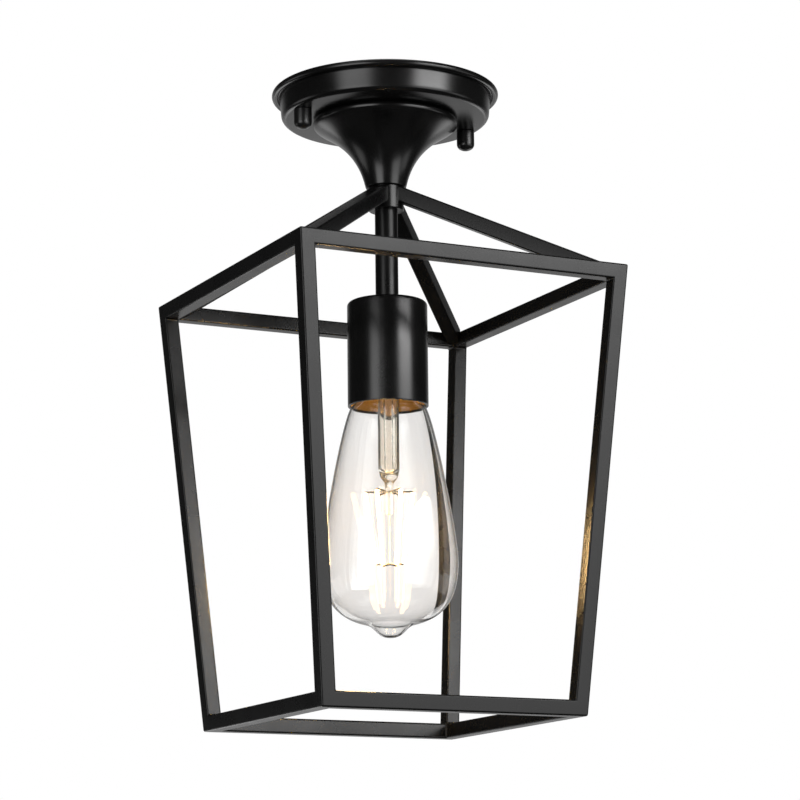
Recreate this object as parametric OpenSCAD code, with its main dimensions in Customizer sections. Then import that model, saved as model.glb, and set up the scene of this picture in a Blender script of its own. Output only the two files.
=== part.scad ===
// Porch ceiling lantern: a tapered cage of square steel tube hung by a short
// downrod from a spun canopy, with one screw-base filament lamp on a downrod.
// Millimetres. +Z is up and z = 0 is the ceiling; the axis of the rod is x = y = 0.
// Corners are called by the room: front (-X-Y), right (+X-Y), back (+X+Y), left (-X+Y).

/* [Canopy] */
// Canopy diameter over the rolled lip
canopy_d = 120; // [112:1:150]
// Depth of the canopy, ceiling to its flat underside
canopy_h = 15; // [13:0.5:24]
// Diameter of the bead rolled round the lip
lip_bead_d = 3.6; // [2.6:0.1:4.4]
// How far the wall stands in from the lip
lip_overhang = 4.1; // [3.6:0.1:6]
// How much narrower the wall is at its foot than at its lip
wall_draft = 0.8; // [0:0.1:2]
// Outside radius where the wall turns into the underside
canopy_edge_r = 3; // [1.5:0.1:5]
// Thickness of the spun steel sheet
sheet_t = 1; // [0.7:0.1:1.4]

/* [Trumpet neck] */
// Diameter of the trumpet where it meets the canopy
trumpet_d = 76.4; // [60:0.2:80]
// Height of the trumpet
trumpet_h = 37; // [30:0.5:50]
// Diameter of the trumpet at its neck
neck_d = 21.4; // [20:0.1:26]
// Radius of the trumpet's rounded rim under the canopy
rim_r = 2.2; // [1.5:0.1:3.5]
// How far the shoulder runs on as it leaves the rim
shoulder_pull = 5; // [3:0.1:9]
// How far the neck runs on above its foot
neck_pull = 24; // [14:0.5:27]

/* [Rod and hub] */
// Outside diameter of the threaded rod
rod_d = 9.9; // [9:0.1:11]
// Bore of the threaded rod, the way for the leads
rod_bore_d = 8; // [6:0.1:8.2]
// Outside diameter of the downrod tube
downrod_d = 12; // [11.6:0.1:15]
// Length of the downrod tube, hub to sleeve
downrod_l = 49.5; // [30:0.5:90]
// Diameter of the hub collar
hub_d = 18.5; // [16:0.1:20]
// Height of the hub collar
hub_h = 12.5; // [11:0.5:20]

/* [Cage] */
// Side of the cage at its top, over the tubes
top_side = 184; // [160:1:240]
// Side of the cage at its foot, over the tubes
bottom_side = 146; // [120:1:156]
// Height of the cage over its rails
cage_h = 229; // [200:1:300]
// How far the cage's top lies below the trumpet's neck
cage_drop = 53; // [30:1:70]
// Side of the square tube
tube = 8; // [6:0.5:10]
// Wall of the square tube
tube_wall = 0.8; // [0.6:0.1:1.5]

/* [Socket sleeve] */
// Outside diameter of the sleeve
sleeve_d = 42; // [41.5:0.5:50]
// Height of the sleeve
sleeve_h = 55.5; // [52:0.5:70]
// Wall of the sleeve
sleeve_t = 1.2; // [0.8:0.1:1.4]
// Outside radius at the sleeve's top edge
sleeve_edge_r = 2.2; // [1.5:0.1:4]

/* [Lampholder] */
// Diameter of the ceramic body
holder_d = 35; // [34:0.5:37]
// Height of the ceramic body
holder_h = 38; // [36:0.5:42]
// Depth of the cavity that takes the lamp's cap
cavity_h = 28; // [26:0.5:29]
// Inside diameter of the screw shell, over its crests
shell_d = 26.6; // [26.5:0.1:27.5]
// Thickness of the brass strip and shell
brass_t = 0.5; // [0.4:0.1:0.7]

/* [Lamp] */
// Outside diameter of the lamp's screw cap
cap_d = 26; // [24:0.1:26.2]
// Height of the screw cap, rim to foot contact
cap_h = 26; // [24:0.5:27]
// Diameter of the glass at the sleeve's mouth
mouth_d = 38.8; // [30:0.2:39]
// Largest diameter of the glass
glass_d = 70.6; // [56:0.2:76]
// Height of the rounded shoulder above the mouth
glass_shoulder_h = 11; // [8:0.5:14]
// Height from the mouth to the widest place
glass_cone_h = 80; // [60:1:90]
// Height from the widest place to the foot of the globe
glass_dome_h = 33; // [28:0.5:42]
// Length of the sealed-off tip
glass_tip_h = 7; // [4:0.5:9]
// Thickness of the glass
glass_t = 0.9; // [0.7:0.1:1.2]
// Diameter of the glass stem
stem_d = 11; // [9:0.5:13]
// Depth of the stem's pinch below the cap's rim
pinch_z = 44; // [36:0.5:50]
// Height of the flare that seals the stem into the neck
stem_flare_h = 14; // [10:0.5:18]
// Diameter of the glass rod below the pinch
stem_rod_d = 3.6; // [2.6:0.1:4.5]
// Number of LED filaments
filament_count = 6; // [4:2:8]
// Thickness of the stem's glass
stem_t = 1; // [0.7:0.1:1.2]
// Length of one LED filament
filament_l = 38; // [30:0.5:40]
// Diameter of one LED filament
filament_d = 1.8; // [1.2:0.1:2.4]
// Distance of the filaments' upper ends from the axis
filament_top_r = 12.4; // [9:0.1:16]
// Distance of the filaments' lower ends from the axis
filament_foot_r = 6.9; // [5:0.1:9]
// Thickness of the wires that carry the filaments
wire_d = 0.7; // [0.5:0.1:1]

/* [Fixings] */
// Thickness of the ceiling plate
plate_t = 2; // [1.5:0.1:3]
// Width of the ceiling plate's arms
plate_w = 20; // [16:0.5:24]
// Distance from the canopy's rim in to each stud
stud_inset = 12; // [10:0.5:15]
// Diameter of the canopy studs
stud_d = 4; // [3:0.1:4.4]
// Width across the flats of the studs' lock nuts
lock_nut_af = 7; // [6:0.1:8]
// Height of the studs' lock nuts
lock_nut_h = 3.2; // [2.2:0.1:4]
// Diameter of the round cap nuts
cap_nut_d = 9.4; // [8:0.1:11]
// Length of the cap nuts
cap_nut_h = 10.5; // [9:0.5:14]
// Width across the flats of the rod nuts
rod_nut_af = 14; // [13:0.5:16]
// Height of the rod nuts
rod_nut_h = 4; // [3:0.5:4.5]
// Thickness of the washers on the rod
washer_t = 1; // [0.6:0.1:1.2]
// Distance between the two junction box screws
box_spacing = 79.4; // [76:0.1:82]
// Length of each slot for a box screw
box_slot_l = 14; // [8:0.5:15]
// Width of each slot for a box screw
box_slot_w = 4.4; // [3.5:0.1:5.5]

/* [Clearances] */
// Radial gap between the rod and what it passes through
rod_gap = 0.25; // [0.1:0.05:0.4]
// Radial gap on a screw in its thread
thread_gap = 0.05; // [0.02:0.01:0.1]
// Radial gap on a screw in a plain hole
screw_gap = 0.4; // [0.2:0.05:0.6]
// Gap between pieces that slide together once
fit_gap = 0.2; // [0.1:0.05:0.3]
// How far the hip bars start below the trumpet's neck
hip_gap = 0.6; // [0.5:0.1:2]

/* [Hidden] */
$fn = 96;

// Finishes, as the lantern shows them
black_paint = [0.10, 0.10, 0.11];
black_nut = [0.07, 0.07, 0.08];
zinc = [0.72, 0.73, 0.75];
brass = [0.80, 0.62, 0.30];
ceramic = [0.90, 0.88, 0.83];
cap_metal = [0.78, 0.74, 0.66];
vitrite = [0.08, 0.07, 0.09];
clear_glass = [0.85, 0.90, 0.92, 0.3];
board_green = [0.15, 0.40, 0.25];
phosphor = [1.00, 0.86, 0.55];

// Heights down the rod, from the ceiling
pan_z = -canopy_h;
neck_z = pan_z - trumpet_h;
hub_z = neck_z - hub_h;
sleeve_z = hub_z - downrod_l;
mouth_z = sleeve_z - sleeve_h;
cage_z = neck_z - cage_drop;
foot_z = cage_z - cage_h;

// The canopy's wall
lip_r = canopy_d / 2 - lip_bead_d / 2;
wall_top_r = canopy_d / 2 - lip_overhang;
wall_foot_r = wall_top_r - wall_draft;

// Bores round the rod
rod_r = rod_d / 2;
pass_r = rod_r + rod_gap;
tapped_r = rod_r + thread_gap;
stud_r = stud_d / 2;
stud_spacing = canopy_d - 2 * stud_inset;

// The stack under the sleeve's roof
roof_z = sleeve_z - sleeve_t;
low_nut_z = roof_z - washer_t;
bracket_z = low_nut_z - rod_nut_h;
bracket_t = 1.5;
bracket_l = 30;
bracket_w = 12;
holder_z = bracket_z - bracket_t;
holder_foot_z = holder_z - holder_h;
cavity_z = holder_foot_z + cavity_h;
rod_recess_r = rod_r + 2;
rod_recess_h = 5;
rod_into_holder = 3.5;

// The stack inside the canopy
star_t = 0.8;
top_nut_z = pan_z + sheet_t + star_t;
rod_top_z = top_nut_z + rod_nut_h + 2;
rod_foot_z = holder_z - rod_into_holder;

// The contact tongue and the lamp's seat on it
tongue_drop = 0.8;
tongue_z = cavity_z - brass_t - tongue_drop;
foot_contact_h = 1.2;
insulator_h = 5;
insulator_z = tongue_z - foot_contact_h;
cap_shoulder_z = insulator_z - insulator_h;
rim_z = tongue_z - cap_h;
cap_t = 0.4;

// The glass
cap_r = cap_d / 2;
neck_in_h = 9;
glass_neck_r = cap_r - cap_t - fit_gap;
glass_mouth_z = rim_z - glass_shoulder_h;
glass_wide_z = glass_mouth_z - glass_cone_h;
glass_dome_z = glass_wide_z - glass_dome_h;
glass_tip_z = glass_dome_z - glass_tip_h;
tip_r = 9;

// The filaments hang on a wire frame under the stem
hook_z = rim_z - pinch_z - 11.5;
stem_rod_foot_z = hook_z - 12;
lean = asin((filament_top_r - filament_foot_r) / filament_l);
filament_foot_z = hook_z - filament_l * cos(lean);
filament_turn = 27;

// The cage's outer planes, in distance from the axis and height
slope = atan((top_side - bottom_side) / 2 / cage_h);
down_face = [-sin(slope), -cos(slope)];
inward = [-cos(slope), sin(slope)];
top_edge = [top_side / 2, cage_z];
foot_edge = [bottom_side / 2, foot_z];
top_inner = top_edge + tube * inward;
foot_inner = foot_edge + tube * inward;

// The hip bars run from the hub's rim to the cage's inner corners
hub_r = hub_d / 2;
hip_start_z = neck_z - hip_gap;
hip_reach = top_inner[0] * sqrt(2) - hub_r;
hip_angle = atan((hip_start_z - top_inner[1]) / hip_reach);
hip_l = hip_reach / cos(hip_angle);

// A cubic curve through p[0] and p[3], pulled towards p[1] and p[2]
function curve_at(p, t) = pow(1 - t, 3) * p[0] + 3 * t * pow(1 - t, 2) * p[1]
    + 3 * t * t * (1 - t) * p[2] + pow(t, 3) * p[3];
function curve_dir(p, t) = 3 * pow(1 - t, 2) * (p[1] - p[0])
    + 6 * t * (1 - t) * (p[2] - p[1]) + 3 * t * t * (p[3] - p[2]);
// The same curve moved sideways by w, in n steps, leaving out the first skip points
function curve(p, n, w = 0, skip = 0) = [for (i = [skip:n])
    let (t = i / n, d = curve_dir(p, t), m = norm(d))
    curve_at(p, t) + w / m * [-d[1], d[0]]];
function arc(c, r, from, to, n = 8) = [for (i = [0:n])
    let (a = from + (to - from) * i / n) c + r * [cos(a), sin(a)]];
function reversed(v) = [for (i = [len(v) - 1:-1:0]) v[i]];

module ring(outer_r, inner_r, z, h) {
    translate([0, 0, z - h]) difference() {
        cylinder(r = outer_r, h = h);
        translate([0, 0, -1]) cylinder(r = inner_r, h = h + 2);
    }
}

module hex_nut(flats, bore_r, z, h) {
    translate([0, 0, z - h]) difference() {
        cylinder(d = flats / cos(30), h = h, $fn = 6);
        translate([0, 0, -1]) cylinder(r = bore_r, h = h + 2);
    }
}

// A screw pointing down from z, with a round head on top
module pan_screw(z, head_r, head_h, shank_r, shank_l) {
    translate([0, 0, z]) cylinder(r1 = head_r, r2 = head_r * 0.8, h = head_h);
    translate([0, 0, z - shank_l]) cylinder(r = shank_r, h = shank_l);
}

// A slot along y, through z = -1 to h + 1
module slot(l, w, h) {
    translate([0, 0, -1]) linear_extrude(h + 2) {
        square([w, l - w], center = true);
        for (s = [-1, 1]) translate([0, s * (l - w) / 2]) circle(d = w);
    }
}

// ---- Ceiling plate and its fixings ----

// Ground screw, on the plate's right arm
ground_x = 26;

module ceiling_plate() {
    color(zinc) translate([0, 0, -plate_t]) difference() {
        linear_extrude(plate_t) intersection() {
            union() {
                square([canopy_d, plate_w], center = true);
                square([plate_w, canopy_d], center = true);
            }
            circle(r = wall_foot_r - canopy_edge_r + fit_gap);
        }
        translate([0, 0, -1]) cylinder(r = 6, h = plate_t + 2);
        for (s = [-1, 1]) {
            translate([s * stud_spacing / 2, 0, -1])
                cylinder(r = stud_r + thread_gap, h = plate_t + 2);
            translate([0, s * box_spacing / 2, 0]) slot(box_slot_l, box_slot_w, plate_t);
        }
        translate([ground_x, 0, -1]) cylinder(r = stud_r + thread_gap, h = plate_t + 2);
    }
}

module ground_screw() {
    washer_r = 4.6;
    head_h = 2.6;
    color([0.25, 0.50, 0.28]) translate([ground_x, 0, -plate_t]) {
        cylinder(r = stud_r, h = plate_t);
        translate([0, 0, -1]) cylinder(r = washer_r, h = 1);
        translate([0, 0, -1 - head_h]) cylinder(r = 3.9, h = head_h, $fn = 6);
    }
}

// Studs reach well into the cap nuts
stud_foot_z = pan_z - cap_nut_h + 4;

module canopy_studs() {
    color(zinc) for (s = [-1, 1]) translate([s * stud_spacing / 2, 0, stud_foot_z])
        cylinder(r = stud_r, h = -stud_foot_z);
}

module stud_lock_nuts() {
    color(zinc) for (s = [-1, 1]) translate([s * stud_spacing / 2, 0, 0])
        hex_nut(lock_nut_af, stud_r + thread_gap, -plate_t, lock_nut_h);
}

// ---- Canopy ----

module canopy_pan() {
    edge_c = [wall_foot_r - canopy_edge_r, pan_z + canopy_edge_r];
    color(black_paint) difference() {
        rotate_extrude() {
            polygon(concat(
                [[pass_r, pan_z]],
                arc(edge_c, canopy_edge_r, 270, 360),
                [[wall_top_r, -sheet_t], [lip_r, -sheet_t], [lip_r, 0],
                 [wall_top_r - sheet_t, 0], [wall_top_r - sheet_t, -sheet_t]],
                arc(edge_c, canopy_edge_r - sheet_t, 360, 270),
                [[pass_r, pan_z + sheet_t]]));
            translate([lip_r, -lip_bead_d / 2]) circle(d = lip_bead_d, $fn = 32);
        }
        for (s = [-1, 1]) translate([s * stud_spacing / 2, 0, pan_z - 1])
            cylinder(r = stud_r + screw_gap, h = sheet_t + 2);
    }
}

// The trumpet is spun from one disc: a rim rounded in against the canopy, a sloping
// shoulder, and one sweep down into the neck
module trumpet_neck() {
    floor_t = 1.2;
    shoulder_slope = 42.5;
    neck_slope = 79;
    rim_c = [trumpet_d / 2 - rim_r, pan_z - rim_r];
    turn = shoulder_slope - 90;
    shoulder = rim_c + rim_r * [cos(turn), sin(turn)];
    foot = [neck_d / 2, neck_z];
    line = [shoulder, shoulder - shoulder_pull * [cos(shoulder_slope), sin(shoulder_slope)],
        foot + neck_pull * [cos(neck_slope), sin(neck_slope)], foot];
    color(black_paint) rotate_extrude() difference() {
        polygon(concat(arc(rim_c, rim_r, 90, turn), curve(line, 18, 0, 1),
            [[pass_r, neck_z], [pass_r, pan_z]]));
        intersection() {
            polygon(concat([[0, pan_z + 1], [rim_c[0], pan_z + 1]],
                arc(rim_c, rim_r - sheet_t, 90, turn), curve(line, 18, -sheet_t, 1), [[0, neck_z]]));
            translate([0, neck_z + floor_t]) square([trumpet_d, trumpet_h]);
        }
    }
}

module cap_nut(side) {
    r = cap_nut_d / 2;
    foot = pan_z - cap_nut_h;
    bore_r = stud_r + thread_gap;
    bore_h = cap_nut_h - 2.5;
    dome_h = 3.6;
    dome = [[r, foot + dome_h], [r, foot + 1.2], [r * 0.55, foot], [0, foot]];
    color(black_nut) translate([side * stud_spacing / 2, 0, 0]) rotate_extrude()
        polygon(concat([[bore_r, pan_z], [r - 0.3, pan_z], [r, pan_z - 0.3]],
            curve(dome, 8), [[0, pan_z - bore_h], [bore_r, pan_z - bore_h]]));
}

// ---- Rod, hub and nuts ----

module threaded_rod() {
    color(zinc) ring(rod_r, rod_bore_d / 2, rod_top_z, rod_top_z - rod_foot_z);
}

// External tooth lock washer: twelve teeth round its rim
module rod_star_washer() {
    outer_r = 9;
    teeth = 12;
    color(zinc) difference() {
        ring(outer_r, pass_r, top_nut_z, star_t);
        for (i = [0:teeth - 1]) rotate([0, 0, 360 / teeth * i])
            translate([outer_r - 1.6, -0.6, top_nut_z - star_t - 1]) cube([3, 1.2, star_t + 2]);
    }
}

module rod_top_nut() {
    color(brass) hex_nut(rod_nut_af, tapped_r, top_nut_z + rod_nut_h, rod_nut_h);
}

module hub_collar() {
    chamfer = 0.4;
    color(black_paint) rotate_extrude() polygon([[pass_r, hub_z], [hub_r - chamfer, hub_z],
        [hub_r, hub_z + chamfer], [hub_r, neck_z - chamfer], [hub_r - chamfer, neck_z],
        [pass_r, neck_z]]);
}

module downrod_tube() {
    color(black_paint) ring(downrod_d / 2, pass_r, hub_z, downrod_l);
}

// ---- Cage ----
// A section is drawn in distance from the axis and height, for the side that faces -Y.

module on_side(k) {
    rotate([0, 0, 90 * k]) children();
}

// The section carried along the whole side
module side_band(section) {
    rotate([90, 0, 90]) linear_extrude(2 * top_side, center = true)
        polygon([for (p = section) [-p[0], p[1]]]);
}

// All that lies between the inner faces of this side's two uprights
module between_uprights() {
    high = top_inner - 2 * cage_drop * down_face;
    low = foot_inner + tube * down_face;
    rotate([90, 0, 0]) linear_extrude(2 * top_side, center = true)
        polygon([high, low, [-low[0], low[1]], [-high[0], high[1]]]);
}

function tube_section(edge, along, w) = [
    edge + w * along + w * inward, edge + (tube - w) * along + w * inward,
    edge + (tube - w) * along + (tube - w) * inward, edge + w * along + (tube - w) * inward];

function upright_section(w) = [
    top_edge + w * down_face + w * inward, foot_edge - w * down_face + w * inward,
    foot_edge - w * down_face + (tube - w) * inward, top_edge + w * down_face + (tube - w) * inward];

// A rail leans with its side, so that its face is flush with the uprights
module rail(k, edge, along) {
    color(black_paint) on_side(k) intersection() {
        difference() {
            side_band(tube_section(edge, along, 0));
            side_band(tube_section(edge, along, tube_wall));
        }
        between_uprights();
    }
}

module top_rail(k) {
    rail(k, top_edge, down_face);
}

module bottom_rail(k) {
    rail(k, foot_edge, -down_face);
}

// Where the rail of side k lets its air into the upright, behind the rail's end
module weld_vent(k, edge, along) {
    c = edge + tube / 2 * (along + inward);
    on_side(k) translate([c[0] - 1.5 * tube, -c[0], c[1]]) rotate([0, 90, 0])
        cylinder(d = tube / 2, h = tube, $fn = 24);
}

module upright(k) {
    color(black_paint) difference() {
        intersection() {
            on_side(k) side_band(upright_section(0));
            on_side(k + 1) side_band(upright_section(0));
        }
        intersection() {
            on_side(k) side_band(upright_section(tube_wall));
            on_side(k + 1) side_band(upright_section(tube_wall));
        }
        weld_vent(k, top_edge, down_face);
        weld_vent(k, foot_edge, -down_face);
    }
}

// Hip bars: square tube notched round the hub and pointed into the inner corner
module hip_bar(k) {
    lead = 2 * tube;
    color(black_paint) difference() {
        intersection() {
            rotate([0, 0, 90 * k - 45]) translate([hub_r, 0, hip_start_z]) rotate([0, hip_angle, 0])
                translate([-hub_r, -tube / 2, -tube]) difference() {
                    cube([hip_l + lead, tube, tube]);
                    translate([-1, tube_wall, tube_wall])
                        cube([hip_l + lead + 2, tube - 2 * tube_wall, tube - 2 * tube_wall]);
                }
            on_side(0) between_uprights();
            on_side(1) between_uprights();
        }
        translate([0, 0, hub_z - tube]) cylinder(r = hub_r, h = hub_h + 2 * tube);
    }
}

// ---- Sleeve and lampholder ----

module socket_sleeve() {
    r = sleeve_d / 2;
    edge_c = [r - sleeve_edge_r, sleeve_z - sleeve_edge_r];
    color(black_paint) rotate_extrude() polygon(concat(
        [[pass_r, sleeve_z]], arc(edge_c, sleeve_edge_r, 90, 0),
        [[r, mouth_z + 0.3], [r - 0.3, mouth_z], [r - sleeve_t, mouth_z]],
        arc(edge_c, sleeve_edge_r - sleeve_t, 0, 90), [[pass_r, roof_z]]));
}

module sleeve_washer() {
    color(zinc) ring(9, pass_r, roof_z, washer_t);
}

module rod_bottom_nut() {
    color(brass) hex_nut(rod_nut_af, tapped_r, low_nut_z, rod_nut_h);
}

// Stations of the bracket's screws and of the terminals, out from the axis
bracket_screw_r = 12.2;
terminal_r = 12.2;
small_screw_r = 1.5;

module holder_bracket() {
    color(zinc) translate([0, 0, holder_z]) difference() {
        translate([-bracket_l / 2, -bracket_w / 2, 0]) cube([bracket_l, bracket_w, bracket_t]);
        translate([0, 0, -1]) cylinder(r = tapped_r, h = bracket_t + 2);
        for (s = [-1, 1]) translate([s * bracket_screw_r, 0, -1])
            cylinder(r = small_screw_r + fit_gap, h = bracket_t + 2);
    }
}

module bracket_screws() {
    color(zinc) for (s = [-1, 1]) translate([s * bracket_screw_r, 0, 0])
        pan_screw(bracket_z, 2.6, 1.5, small_screw_r, bracket_t + 6);
}

module holder_body() {
    r = holder_d / 2;
    screw_hole_h = 7;
    lead_hole_r = 1.4;
    lead_hole_y = 5;
    color(ceramic) difference() {
        rotate_extrude() polygon([[0, holder_foot_z], [r - 1, holder_foot_z],
            [r, holder_foot_z + 1], [r, holder_z - 2], [r - 2, holder_z], [0, holder_z]]);
        translate([0, 0, holder_foot_z - 1])
            cylinder(r = shell_d / 2 + brass_t + fit_gap, h = cavity_h + 1);
        translate([0, 0, holder_z - rod_recess_h]) cylinder(r = rod_recess_r, h = rod_recess_h + 1);
        for (s = [-1, 1]) {
            translate([s * bracket_screw_r, 0, holder_z - screw_hole_h])
                cylinder(r = small_screw_r + thread_gap, h = screw_hole_h + 1);
            translate([0, s * terminal_r, holder_z - screw_hole_h])
                cylinder(r = small_screw_r + thread_gap, h = screw_hole_h + 1);
            translate([0, s * lead_hole_y, cavity_z - 1])
                cylinder(r = lead_hole_r, h = holder_h - cavity_h);
        }
        translate([rivet_x, 0, cavity_z - 1]) cylinder(r = rivet_r, h = holder_h - cavity_h);
    }
}

module terminal_screws() {
    color(brass) for (s = [-1, 1]) translate([0, s * terminal_r, 0])
        pan_screw(holder_z, 3, 2, small_screw_r, 6);
}

module holder_shell() {
    r = shell_d / 2;
    color(brass) rotate_extrude() polygon([[r, holder_foot_z + 1.5],
        [r + brass_t, holder_foot_z + 1.5], [r + brass_t, cavity_z], [9, cavity_z],
        [9, cavity_z - brass_t], [r, cavity_z - brass_t]]);
}

rivet_x = -5;
rivet_r = 1;

// A brass strip, cranked so that its free end springs against the lamp's foot
module contact_tongue() {
    w = 5;
    top = cavity_z;
    color(brass) difference() {
        rotate([90, 0, 0]) linear_extrude(w, center = true) polygon([
            [rivet_x - 2.4, top], [rivet_x + 2, top], [-0.6, top - tongue_drop],
            [4, top - tongue_drop], [4, tongue_z], [-0.8, tongue_z],
            [rivet_x + 1.8, top - brass_t], [rivet_x - 2.4, top - brass_t]]);
        translate([rivet_x, 0, top - brass_t - 1]) cylinder(r = rivet_r, h = brass_t + 2);
    }
}

module contact_rivet() {
    color(brass) translate([rivet_x, 0, 0]) {
        translate([0, 0, cavity_z - brass_t - 0.6]) cylinder(r1 = 1.3, r2 = 1.8, h = 0.6);
        translate([0, 0, cavity_z - brass_t])
            cylinder(r = rivet_r, h = holder_h - cavity_h - rod_recess_h + brass_t);
    }
}

// ---- Lamp ----

module lamp_foot_contact() {
    color(cap_metal) rotate_extrude() polygon([[0, insulator_z], [4.8, insulator_z],
        [4.8, insulator_z + 0.5], [4, tongue_z - 0.1], [3.4, tongue_z], [0, tongue_z]]);
}

module cap_insulator() {
    color(vitrite) rotate_extrude() polygon([[0, cap_shoulder_z - 1],
        [cap_r - cap_t - fit_gap - 1.4, cap_shoulder_z - 1],
        [cap_r - cap_t - fit_gap - 1.4, cap_shoulder_z], [5.4, insulator_z], [0, insulator_z]]);
}

module lamp_cap() {
    roll = 1.4;
    color(cap_metal) rotate_extrude() polygon([[cap_r - cap_t, rim_z], [cap_r, rim_z],
        [cap_r, cap_shoulder_z - 1 - roll], [cap_r - roll, cap_shoulder_z],
        [cap_r - cap_t - roll, cap_shoulder_z], [cap_r - cap_t - roll, cap_shoulder_z - 1],
        [cap_r - cap_t, cap_shoulder_z - 1 - roll]]);
}

// Driver board inside the cap, with its rectifier and two capacitors
module led_driver() {
    board_z = cap_shoulder_z - 4;
    board_t = 1;
    color(board_green) {
        translate([0, 0, board_z - board_t])
            cylinder(r = cap_r - cap_t - fit_gap, h = board_t);
        translate([-7, -2.5, board_z]) cube([5, 5, 2]);
        for (s = [-1, 1]) translate([4, s * 4, board_z]) cylinder(r = 2.2, h = 2.6);
    }
}

// Straight-tapered envelope: shoulder, cone, dome and sealed tip
module lamp_glass() {
    top_z = rim_z + neck_in_h;
    n = glass_neck_r;
    m = mouth_d / 2;
    w = glass_d / 2;
    shoulder = [[n, rim_z], [n + 0.2, rim_z - glass_shoulder_h / 2],
        [m - 2.7, glass_mouth_z + 0.4 * glass_shoulder_h], [m, glass_mouth_z]];
    cone = [[m, glass_mouth_z], [m + 5, glass_mouth_z - glass_cone_h / 10],
        [w, glass_wide_z + 0.14 * glass_cone_h], [w, glass_wide_z]];
    dome = [[w, glass_wide_z], [w, glass_wide_z - 0.46 * glass_dome_h],
        [w - 2.4, glass_dome_z], [tip_r, glass_dome_z]];
    tip = [[tip_r, glass_dome_z], [tip_r - 3.5, glass_dome_z - 0.1 * glass_tip_h],
        [tip_r - 3, glass_tip_z], [0, glass_tip_z]];
    outside = concat([[n, top_z]], curve(shoulder, 6), curve(cone, 10, 0, 1),
        curve(dome, 10, 0, 1), curve(tip, 6, 0, 1));
    inside = concat([[n - glass_t, top_z]], curve(shoulder, 6, -glass_t),
        curve(cone, 10, -glass_t, 1), curve(dome, 10, -glass_t, 1),
        [[tip_r - 6, glass_dome_z], [1.5, glass_tip_z + glass_tip_h / 2], [0, glass_tip_z + 2]]);
    color(clear_glass) rotate_extrude() polygon(concat(outside, reversed(inside)));
}

// Glass stem: flare sealed in the neck, tube, pinch and the rod that holds the hooks
module glass_stem() {
    top_z = rim_z + neck_in_h;
    r = stem_d / 2;
    rod = stem_rod_d / 2;
    flare_r = glass_neck_r - glass_t - fit_gap;
    flare_foot_z = top_z - stem_flare_h;
    pinch = rim_z - pinch_z;
    pinch_h = 0.75 * stem_d;
    flare = [[flare_r, top_z - stem_t], [flare_r - 2 * stem_t, top_z - stem_flare_h / 2],
        [r, top_z - stem_flare_h / 2], [r, flare_foot_z]];
    color(clear_glass) rotate_extrude() polygon(concat(
        [[flare_r - stem_t, top_z], [flare_r, top_z]], curve(flare, 6),
        [[r, pinch], [1.3 * rod, pinch - pinch_h], [rod, pinch - 1.2 * pinch_h],
         [rod, stem_rod_foot_z + rod / 2], [rod / 2, stem_rod_foot_z],
         [0, stem_rod_foot_z], [0, pinch - 2 * stem_t], [r - stem_t, pinch + 2 * stem_t],
         [r - stem_t, flare_foot_z]]));
}

// A round wire from a to b, both given as points
module wire(a, b, d) {
    v = b - a;
    l = norm(v);
    translate(a) rotate([0, acos(v[2] / l), atan2(v[1], v[0])]) cylinder(d = d, h = l, $fn = 16);
}

// The two leads that run from the driver board down through the stem to the pinch
module lead_in_wires() {
    board_foot_z = cap_shoulder_z - 5;
    x = 2.2;
    color(cap_metal) for (s = [-1, 1]) rotate([0, 0, -filament_turn])
        wire([s * x, 0, board_foot_z], [s * x, 0, rim_z - pinch_z + 0.4], wire_d);
}

// Wire frame: a spider of hooks round the glass rod, a drop wire and a lower spider
module filament_frame() {
    step = 360 / filament_count;
    start_r = stem_rod_d / 2 + 0.05;
    color(cap_metal) {
        translate([0, 0, hook_z - wire_d / 2]) linear_extrude(wire_d) difference() {
            union() {
                circle(r = start_r + wire_d);
                spokes(step, filament_top_r);
            }
            circle(r = start_r);
        }
        translate([0, 0, filament_foot_z - wire_d / 2])
            linear_extrude(wire_d) spokes(step, filament_foot_r);
        translate([0, 0, filament_foot_z])
            cylinder(d = wire_d, h = stem_rod_foot_z - filament_foot_z, $fn = 16);
    }
}

module spokes(step, reach) {
    for (i = [0:filament_count - 1]) rotate([0, 0, i * step - filament_turn])
        translate([0, -wire_d / 2]) square([reach, wire_d]);
}

module led_filaments() {
    step = 360 / filament_count;
    end_gap = wire_d / 2 + 0.1;
    run = [filament_foot_r - filament_top_r, 0, filament_foot_z - hook_z] / filament_l;
    color(phosphor) for (i = [0:filament_count - 1]) rotate([0, 0, i * step - filament_turn])
        wire([filament_top_r, 0, hook_z] + end_gap * run,
            [filament_foot_r, 0, filament_foot_z] - end_gap * run, filament_d);
}

ceiling_plate();
ground_screw();
canopy_studs();
stud_lock_nuts();
canopy_pan();
trumpet_neck();
rod_star_washer();
rod_top_nut();
cap_nut(-1);  // cap_nut_left
cap_nut(1);  // cap_nut_right
threaded_rod();
hub_collar();
hip_bar(0);  // hip_bar_right
hip_bar(1);  // hip_bar_back
hip_bar(2);  // hip_bar_left
hip_bar(3);  // hip_bar_front
top_rail(0);  // top_rail_front_right
top_rail(1);  // top_rail_back_right
top_rail(2);  // top_rail_back_left
top_rail(3);  // top_rail_front_left
upright(0);  // upright_right
upright(1);  // upright_back
upright(2);  // upright_left
upright(3);  // upright_front
bottom_rail(0);  // bottom_rail_front_right
bottom_rail(1);  // bottom_rail_back_right
bottom_rail(2);  // bottom_rail_back_left
bottom_rail(3);  // bottom_rail_front_left
downrod_tube();
socket_sleeve();
sleeve_washer();
rod_bottom_nut();
holder_bracket();
bracket_screws();
holder_body();
terminal_screws();
holder_shell();
contact_tongue();
contact_rivet();
lamp_foot_contact();
lamp_cap();
cap_insulator();
led_driver();
lamp_glass();
glass_stem();
lead_in_wires();
filament_frame();
led_filaments();
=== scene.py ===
from math import asin, atan, cos, pi, radians, sin

import bpy
from mathutils import Matrix, Vector


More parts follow.
